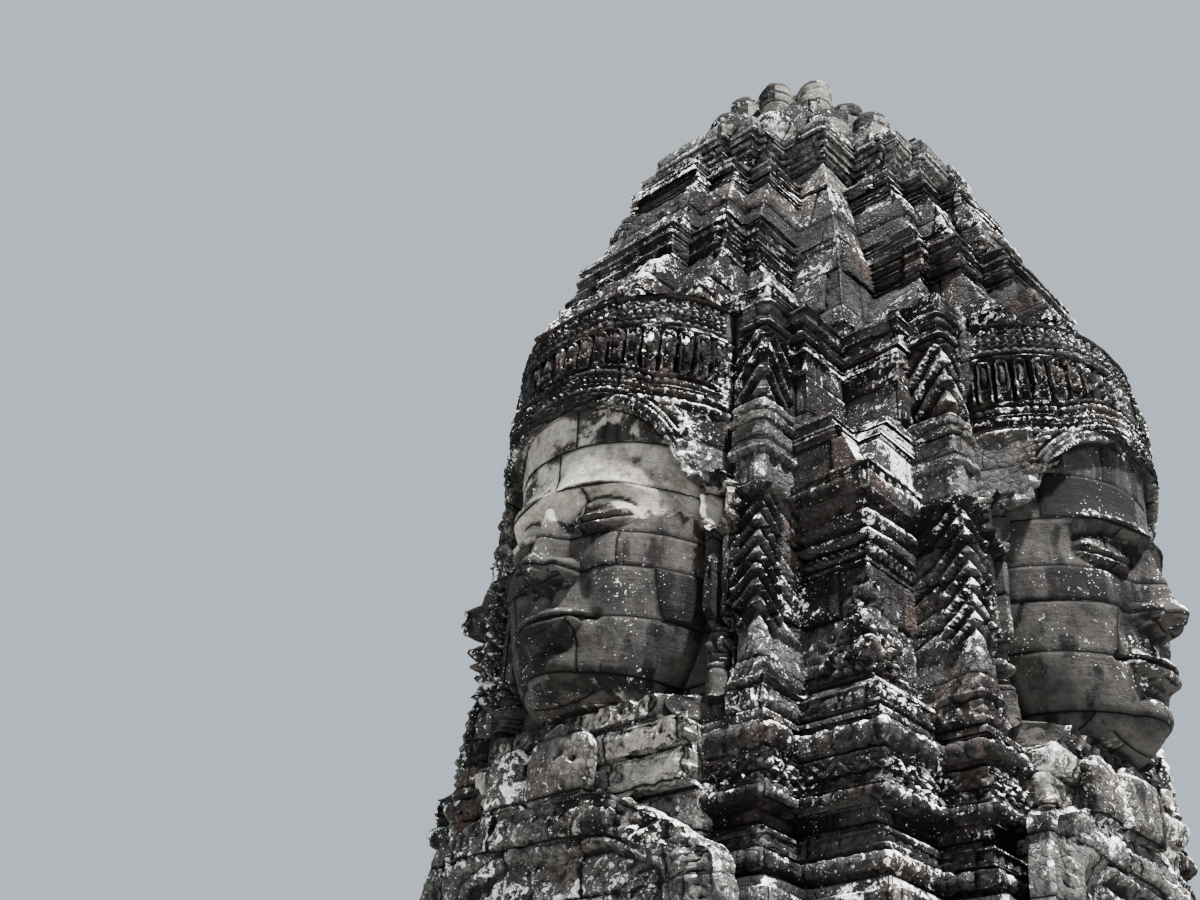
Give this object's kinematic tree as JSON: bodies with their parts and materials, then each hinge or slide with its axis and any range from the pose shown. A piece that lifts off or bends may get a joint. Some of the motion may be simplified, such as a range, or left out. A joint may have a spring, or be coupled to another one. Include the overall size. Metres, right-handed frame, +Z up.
{
  "type": "sandstone face tower",
  "caption": "Redented sandstone shrine tower with a calm carved face on each side, corner pavilions, tapering tiers, a lotus crown and a hollow chamber with doorways.",
  "frame": {"origin": "centre of the tower's foot, on the paving it stands on", "axes": "+Z up, -Y out of the south side that shows on the left of the picture, +X out of the east side on its right"},
  "size_m": [5.4856, 5.4856, 11.16],
  "materials": {
    "stone": "weathered, rough, with dark and pale lichen",
    "pale_stone": "smoother carved blocks, less overgrown",
    "dark_stone": "deeply carved and blackened"
  },
  "bodies": {
    "root": {"plinth": "stone", "south_east_pier": "stone", "north_east_pier": "stone", "north_west_pier": "stone", "south_west_pier": "stone", "south_door_frame": "pale_stone", "east_door_frame": "pale_stone", "north_door_frame": "pale_stone", "west_door_frame": "pale_stone", "south_wall_above_door": "stone", "east_wall_above_door": "stone", "north_wall_above_door": "stone", "west_wall_above_door": "stone", "south_pediment": "stone", "east_pediment": "stone", "north_pediment": "stone", "west_pediment": "stone", "south_east_cornice": "stone", "north_east_cornice": "stone", "north_west_cornice": "stone", "south_west_cornice": "stone", "south_face": "pale_stone", "east_face": "pale_stone", "north_face": "pale_stone", "west_face": "pale_stone", "south_diadem": "dark_stone", "east_diadem": "dark_stone", "north_diadem": "dark_stone", "west_diadem": "dark_stone", "south_east_pavilion": "stone", "north_east_pavilion": "stone", "north_west_pavilion": "stone", "south_west_pavilion": "stone", "lower_tier": "stone", "upper_tier": "stone", "top_cornice": "stone", "lower_lotus": "stone", "upper_lotus": "stone"}
  },
  "joints": []
}
